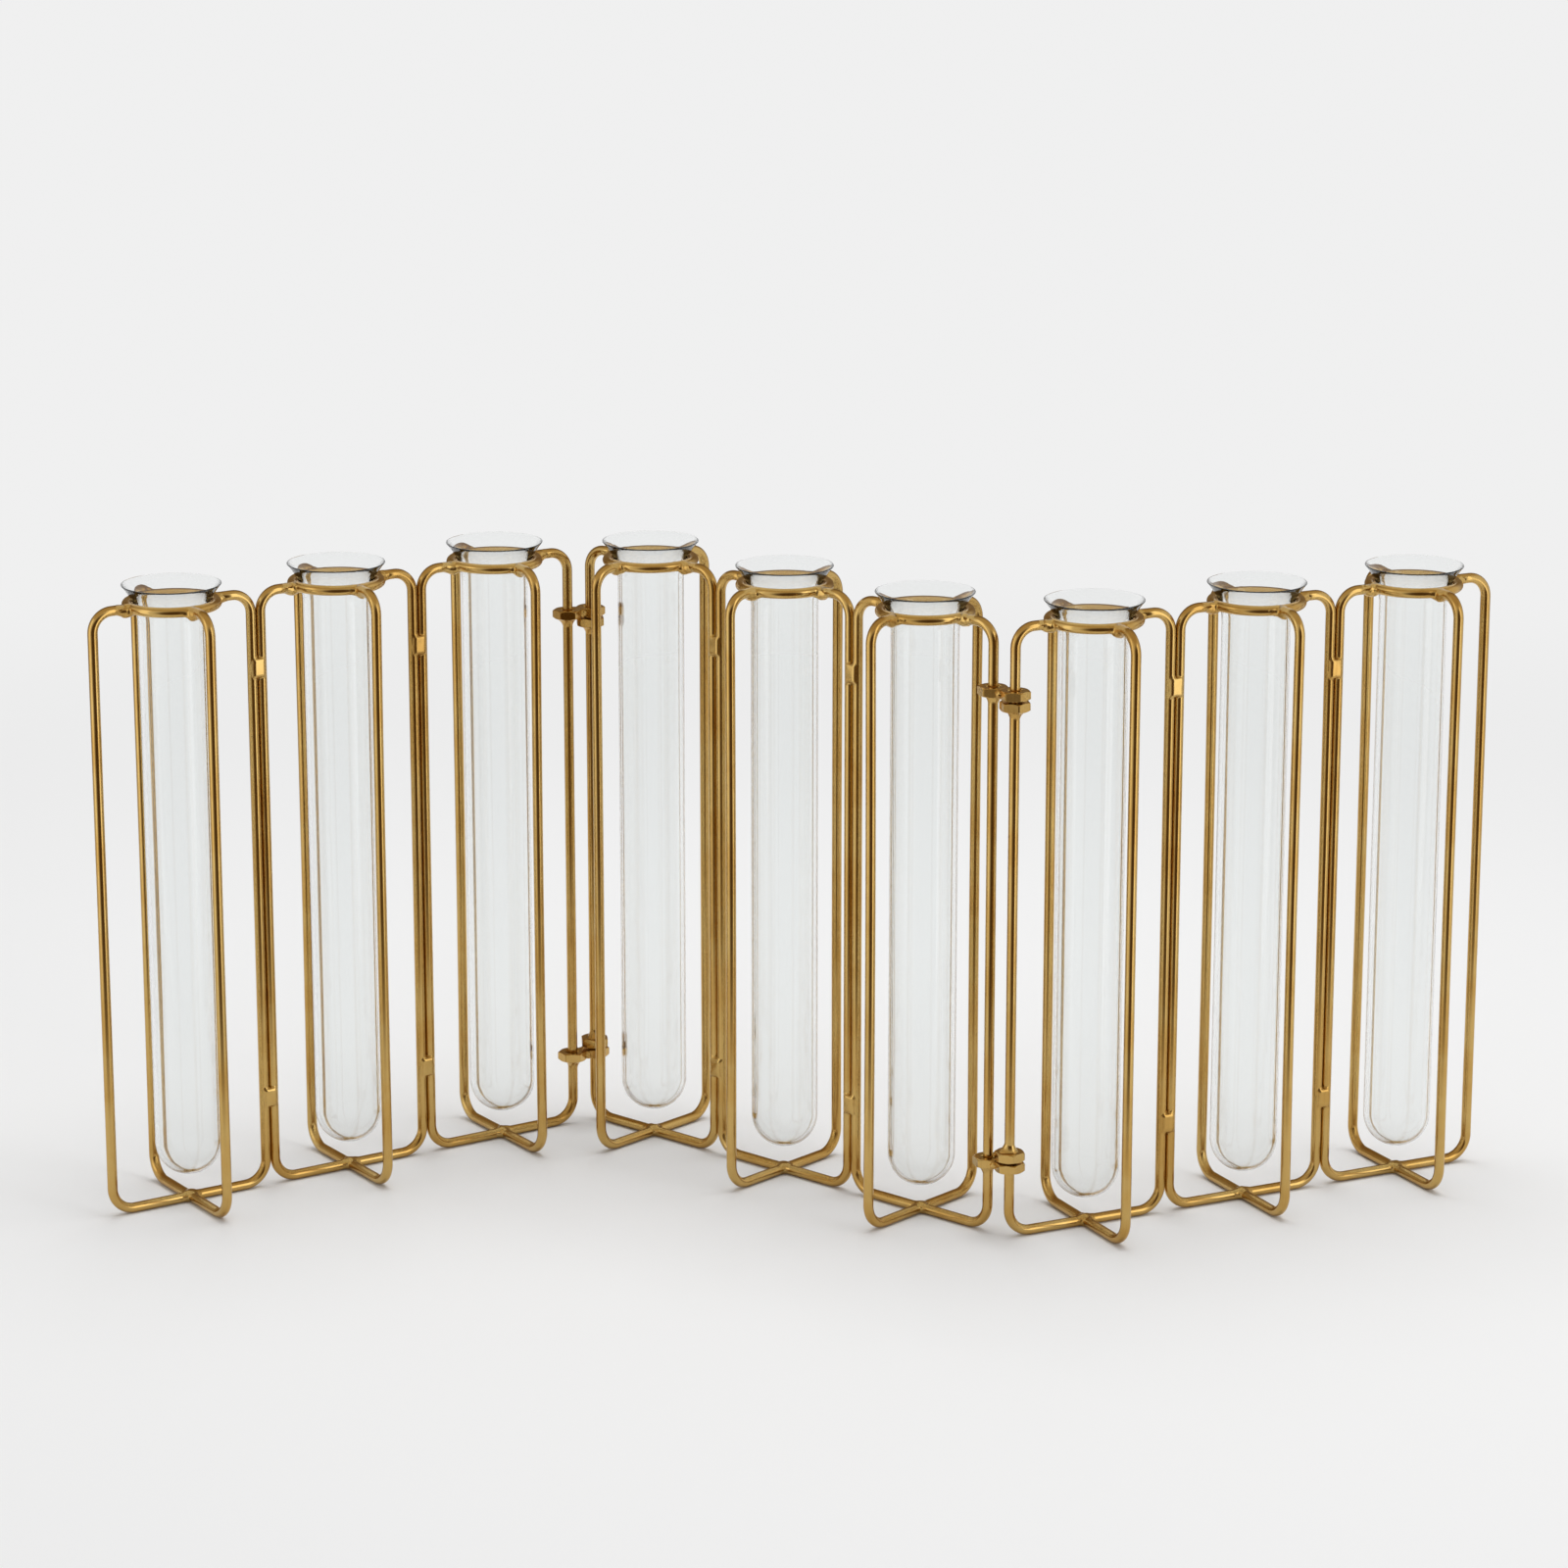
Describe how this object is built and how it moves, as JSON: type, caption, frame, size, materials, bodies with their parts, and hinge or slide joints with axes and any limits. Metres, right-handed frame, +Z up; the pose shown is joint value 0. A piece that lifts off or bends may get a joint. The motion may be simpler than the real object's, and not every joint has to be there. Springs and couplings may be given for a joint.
{
  "type": "test tube vase",
  "caption": "Folding vase: flared glass test tubes hang in rings of a brass-finished wire stand whose straight sections turn on hinges made of hex nuts.",
  "frame": {"origin": "middle of the plan box at the pictured fold, on the surface that the base wires stand on", "axes": "+X from the left end of the zigzag to its right end, +Y from the viewer to the back, +Z up"},
  "size_m": [0.4104, 0.1274, 0.189],
  "materials": {
    "brass_wire": "aged brass finish, satin, on round wire",
    "brass_nut": "aged brass finish, satin, with dark bores",
    "brass_weld": "brazed bead under the brass finish, lumpy and glossy",
    "tube_glass": "clear polished glass"
  },
  "bodies": {
    "left_section": {"ring_1": "brass_wire", "cross_wire_1": "brass_wire", "left_wire_1": "brass_wire", "right_wire_1": "brass_wire", "ring_2": "brass_wire", "cross_wire_2": "brass_wire", "left_wire_2": "brass_wire", "right_wire_2": "brass_wire", "ring_3": "brass_wire", "cross_wire_3": "brass_wire", "left_wire_3": "brass_wire", "right_wire_3": "brass_wire", "hinge_1_upper_anchor_nut": "brass_nut", "hinge_1_upper_pivot_nut": "brass_nut", "hinge_1_lower_anchor_nut": "brass_nut", "hinge_1_lower_pivot_nut": "brass_nut", "welds_left": "brass_weld"},
    "middle_section": {"ring_4": "brass_wire", "cross_wire_4": "brass_wire", "left_wire_4": "brass_wire", "right_wire_4": "brass_wire", "ring_5": "brass_wire", "cross_wire_5": "brass_wire", "left_wire_5": "brass_wire", "right_wire_5": "brass_wire", "ring_6": "brass_wire", "cross_wire_6": "brass_wire", "left_wire_6": "brass_wire", "right_wire_6": "brass_wire", "hinge_1_upper_stop_nut": "brass_nut", "hinge_1_lower_stop_nut": "brass_nut", "hinge_2_upper_anchor_nut": "brass_nut", "hinge_2_upper_pivot_nut": "brass_nut", "hinge_2_lower_anchor_nut": "brass_nut", "hinge_2_lower_pivot_nut": "brass_nut", "welds_middle": "brass_weld"},
    "right_section": {"ring_7": "brass_wire", "cross_wire_7": "brass_wire", "left_wire_7": "brass_wire", "right_wire_7": "brass_wire", "ring_8": "brass_wire", "cross_wire_8": "brass_wire", "left_wire_8": "brass_wire", "right_wire_8": "brass_wire", "ring_9": "brass_wire", "cross_wire_9": "brass_wire", "left_wire_9": "brass_wire", "right_wire_9": "brass_wire", "hinge_2_upper_stop_nut": "brass_nut", "hinge_2_lower_stop_nut": "brass_nut", "welds_right": "brass_weld"},
    "tube_1": {"tube_1": "tube_glass"},
    "tube_2": {"tube_2": "tube_glass"},
    "tube_3": {"tube_3": "tube_glass"},
    "tube_4": {"tube_4": "tube_glass"},
    "tube_5": {"tube_5": "tube_glass"},
    "tube_6": {"tube_6": "tube_glass"},
    "tube_7": {"tube_7": "tube_glass"},
    "tube_8": {"tube_8": "tube_glass"},
    "tube_9": {"tube_9": "tube_glass"}
  },
  "joints": [
    {"name": "left_hinge", "type": "hinge", "parent": "middle_section", "child": "left_section", "pos_m": [-0.06437, 0.05914, 0], "axis": [0, 0, 1], "range_deg": [-179.2, 28.8]},
    {"name": "right_hinge", "type": "hinge", "parent": "middle_section", "child": "right_section", "pos_m": [0.06071, -0.0519, 0], "axis": [0, 0, 1], "range_deg": [-171.7, 36.3]},
    {"name": "tube_1_lift", "type": "slide", "parent": "left_section", "child": "tube_1", "axis": [0, 0, 1], "range_m": [0, 0.185]},
    {"name": "tube_2_lift", "type": "slide", "parent": "left_section", "child": "tube_2", "axis": [0, 0, 1], "range_m": [0, 0.185]},
    {"name": "tube_3_lift", "type": "slide", "parent": "left_section", "child": "tube_3", "axis": [0, 0, 1], "range_m": [0, 0.185]},
    {"name": "tube_4_lift", "type": "slide", "parent": "middle_section", "child": "tube_4", "axis": [0, 0, 1], "range_m": [0, 0.185]},
    {"name": "tube_5_lift", "type": "slide", "parent": "middle_section", "child": "tube_5", "axis": [0, 0, 1], "range_m": [0, 0.185]},
    {"name": "tube_6_lift", "type": "slide", "parent": "middle_section", "child": "tube_6", "axis": [0, 0, 1], "range_m": [0, 0.185]},
    {"name": "tube_7_lift", "type": "slide", "parent": "right_section", "child": "tube_7", "axis": [0, 0, 1], "range_m": [0, 0.185]},
    {"name": "tube_8_lift", "type": "slide", "parent": "right_section", "child": "tube_8", "axis": [0, 0, 1], "range_m": [0, 0.185]},
    {"name": "tube_9_lift", "type": "slide", "parent": "right_section", "child": "tube_9", "axis": [0, 0, 1], "range_m": [0, 0.185]}
  ]
}
